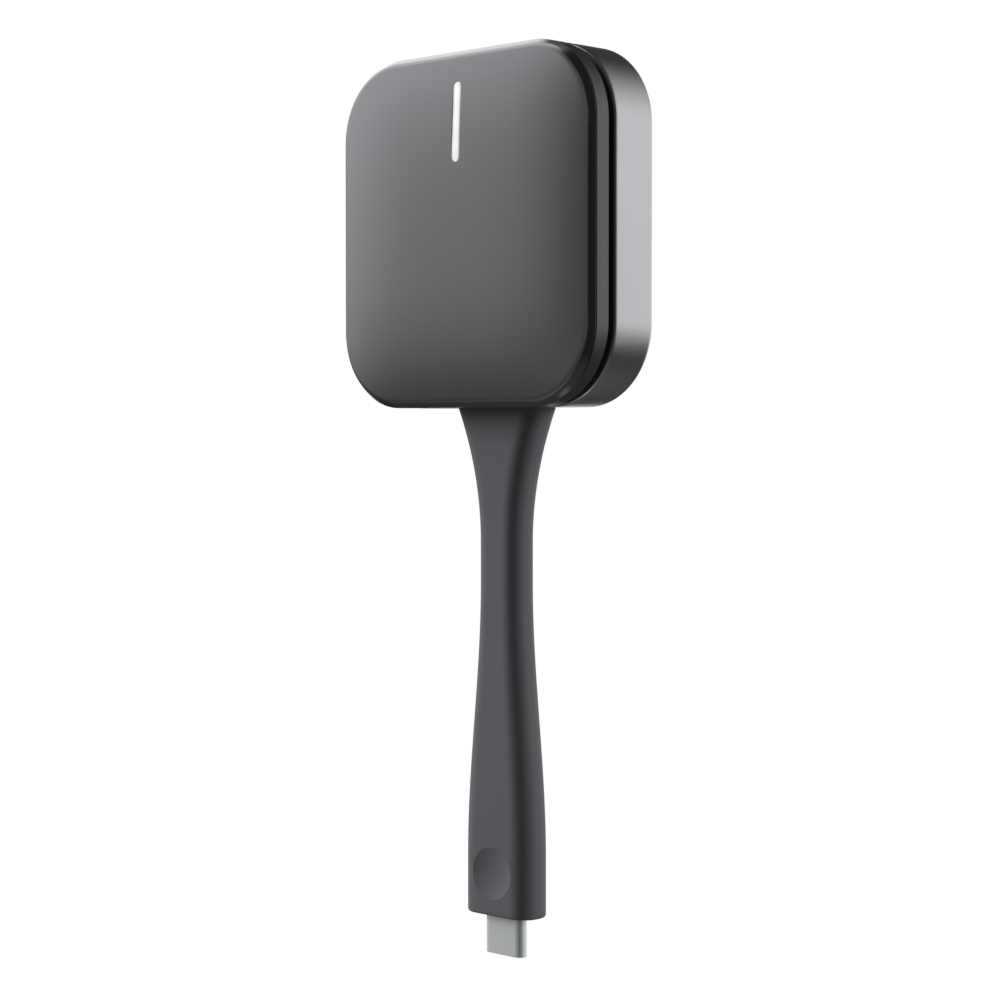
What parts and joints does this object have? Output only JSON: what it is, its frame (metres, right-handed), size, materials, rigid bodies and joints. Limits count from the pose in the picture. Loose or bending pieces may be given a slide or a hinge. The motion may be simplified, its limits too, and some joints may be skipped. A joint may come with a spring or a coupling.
{
  "type": "wireless display adapter",
  "caption": "Square puck with a pressable domed face and light bar, on a flat flexible tail that ends in a reversible data plug.",
  "frame": {"origin": "centre of the plug's shoulder, where the metal plug leaves the grip's end face", "axes": "+Z from the plug up the tail to the puck, -Y out of the puck's domed front face, +X to the viewer's right"},
  "size_m": [0.057, 0.0156, 0.1465],
  "materials": {
    "plug_steel": "satin deep-drawn steel",
    "plug_insert": "black moulded insulator",
    "contact_gold": "gold-plated spring strips",
    "circuit_board": "green solder mask",
    "chip_black": "moulded chip packages",
    "inner_mould": "natural moulded polyethylene",
    "crimp_steel": "plated crimp ring",
    "cable_jacket": "cable jacket",
    "sleeve_rubber": "matte dark grey moulded elastomer",
    "shell_metal": "fine bead-blasted silver grey",
    "frame_black": "black moulded frame",
    "band_grey": "satin dark grey",
    "panel_grey": "satin grey with a fine metallic grain",
    "light_white": "white light guide, lit",
    "adhesive_black": "black adhesive sheet",
    "screw_steel": "zinc-plated",
    "pad_blue": "soft thermal pad",
    "spreader_metal": "bare sheet",
    "shield_metal": "tinned can",
    "coil_ferrite": "ferrite",
    "crystal_metal": "lidded can",
    "led_white": "phosphor lamps, lit",
    "foam_black": "foam",
    "antenna_copper": "copper foil strip",
    "switch_black": "switch housing",
    "plunger_plastic": "switch plunger",
    "socket_white": "nylon connector",
    "fork_steel": "pressed spring steel",
    "dome_silicone": "silicone"
  },
  "bodies": {
    "plug_end": {"plug_shell": "plug_steel", "plug_insert": "plug_insert", "plug_contacts": "contact_gold", "plug_latches": "plug_steel", "plug_board": "circuit_board", "plug_chip": "chip_black", "plug_mould": "inner_mould", "cable_crimp": "crimp_steel", "cable_core": "cable_jacket", "neck_sleeve": "sleeve_rubber"},
    "housing": {"rear_shell": "shell_metal", "inner_frame": "frame_black", "frame_screws": "screw_steel", "main_board": "circuit_board", "processor": "chip_black", "thermal_pad": "pad_blue", "heat_spreader": "spreader_metal", "memory_chips": "chip_black", "radio_chip": "chip_black", "radio_shield": "shield_metal", "power_coils": "coil_ferrite", "crystal": "crystal_metal", "status_leds": "led_white", "light_shroud": "foam_black", "antenna_left": "antenna_copper", "antenna_right": "antenna_copper", "tact_switch": "switch_black", "board_socket": "socket_white", "cable_header": "socket_white", "neck_fork": "fork_steel", "return_domes": "dome_silicone"},
    "plunger": {"switch_plunger": "plunger_plastic"},
    "button": {"button_frame": "band_grey", "panel_adhesive": "adhesive_black", "front_panel": "panel_grey", "light_guide": "light_white"}
  },
  "joints": [
    {"name": "neck_bend", "type": "hinge", "parent": "plug_end", "child": "housing", "pos_m": [0, 0, 0.056], "axis": [1, 0, 0], "range_deg": [-45, 45], "stiffness_Nm_per_rad": 0.12, "deforming": ["neck_sleeve", "cable_core"]},
    {"name": "button_press", "type": "slide", "parent": "housing", "child": "button", "axis": [0, 1, 0], "range_m": [0, 0.0005], "stiffness_N_per_m": 2000, "springref_m": -0.0003, "deforming": ["return_domes"]},
    {"name": "plunger_press", "type": "slide", "parent": "housing", "child": "plunger", "axis": [0, 1, 0], "range_m": [0, 0.0005]}
  ],
  "couplings": [
    {"joint": "plunger_press", "follows": "button_press", "ratio": 1}
  ]
}
